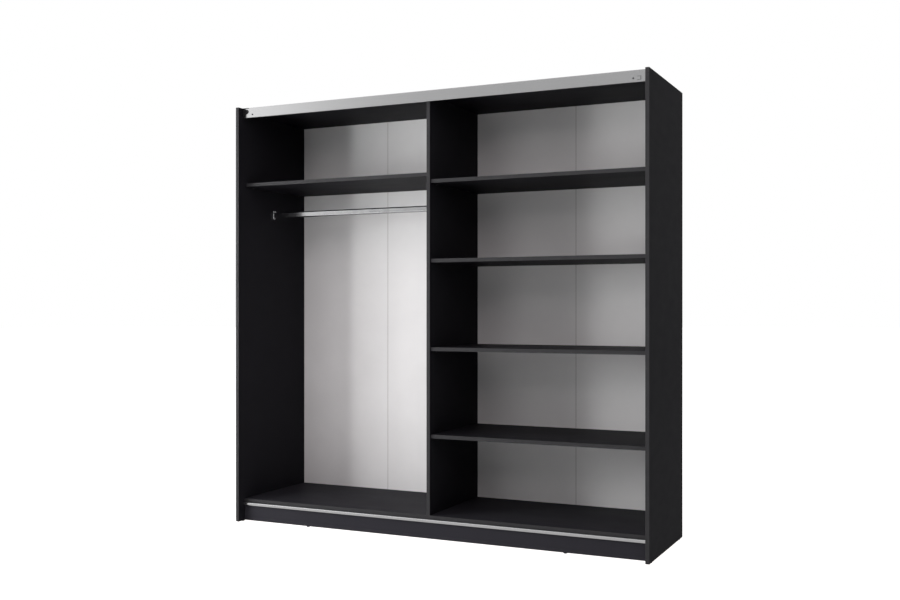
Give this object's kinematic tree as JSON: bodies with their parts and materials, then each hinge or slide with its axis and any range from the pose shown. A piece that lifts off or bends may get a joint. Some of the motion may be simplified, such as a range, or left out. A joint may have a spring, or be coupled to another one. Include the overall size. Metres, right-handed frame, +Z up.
{
  "type": "sliding-door wardrobe carcass",
  "caption": "Tall open two-bay wardrobe carcass in dark board with aluminium sliding-door tracks, a high shelf over an oval hanging rail, loose shelves and a pale hardboard back.",
  "frame": {"origin": "middle of the footprint, on the floor", "axes": "+X to the right as seen from the open front, +Y to the back, +Z up"},
  "size_m": [2.18, 0.62, 2.15],
  "materials": {
    "board": "matt anthracite melamine on chipboard",
    "edge_band": "satin anthracite ABS banding",
    "hardboard": "pale grey lacquered hardboard",
    "aluminium": "satin anodised",
    "chrome": "polished",
    "black_plastic": "matt moulded",
    "black_screw": "black zinc",
    "zinc": "bright zinc",
    "beech": "raw turned"
  },
  "bodies": {
    "carcass": {"left_side_panel": "board", "right_side_panel": "board", "centre_partition": "board", "top_panel": "board", "floor_panel": "board", "front_plinth": "board", "rear_plinth": "board", "plinth_braces": "board", "left_panel_edge_band": "edge_band", "right_panel_edge_band": "edge_band", "partition_edge_band": "edge_band", "floor_edge_band": "edge_band", "back_panel_1": "hardboard", "back_panel_2": "hardboard", "back_panel_3": "hardboard", "back_panel_4": "hardboard", "back_joint_strips": "black_plastic", "back_panel_nails": "zinc", "top_track": "aluminium", "top_track_screws": "black_screw", "left_track_stop": "black_plastic", "right_track_stop": "black_plastic", "track_stop_screws": "black_screw", "bottom_guide": "aluminium", "bottom_guide_screws": "black_screw", "left_shelf_pins": "black_plastic", "right_shelf_pins": "black_plastic", "left_rail_socket": "chrome", "right_rail_socket": "chrome", "rail_socket_screws": "zinc", "cam_housings": "zinc", "cam_bolts": "zinc", "wood_dowels": "beech", "confirmat_screws": "zinc", "side_panel_glides": "black_plastic", "plinth_glides": "black_plastic"},
    "left_shelf": {"left_shelf": "board", "left_shelf_band": "edge_band"},
    "right_shelf_1": {"right_shelf_1": "board", "right_shelf_1_band": "edge_band"},
    "right_shelf_2": {"right_shelf_2": "board", "right_shelf_2_band": "edge_band"},
    "right_shelf_3": {"right_shelf_3": "board", "right_shelf_3_band": "edge_band"},
    "right_shelf_4": {"right_shelf_4": "board", "right_shelf_4_band": "edge_band"},
    "hanging_rail": {"hanging_rail": "chrome"}
  },
  "joints": [
    {"name": "left_shelf_slide", "type": "slide", "parent": "carcass", "child": "left_shelf", "axis": [0, -1, 0], "range_m": [0, 0.62]},
    {"name": "right_shelf_1_slide", "type": "slide", "parent": "carcass", "child": "right_shelf_1", "axis": [0, -1, 0], "range_m": [0, 0.62]},
    {"name": "right_shelf_2_slide", "type": "slide", "parent": "carcass", "child": "right_shelf_2", "axis": [0, -1, 0], "range_m": [0, 0.62]},
    {"name": "right_shelf_3_slide", "type": "slide", "parent": "carcass", "child": "right_shelf_3", "axis": [0, -1, 0], "range_m": [0, 0.62]},
    {"name": "right_shelf_4_slide", "type": "slide", "parent": "carcass", "child": "right_shelf_4", "axis": [0, -1, 0], "range_m": [0, 0.62]},
    {"name": "hanging_rail_lift", "type": "slide", "parent": "carcass", "child": "hanging_rail", "axis": [0, 0, 1], "range_m": [0, 0.1]}
  ]
}
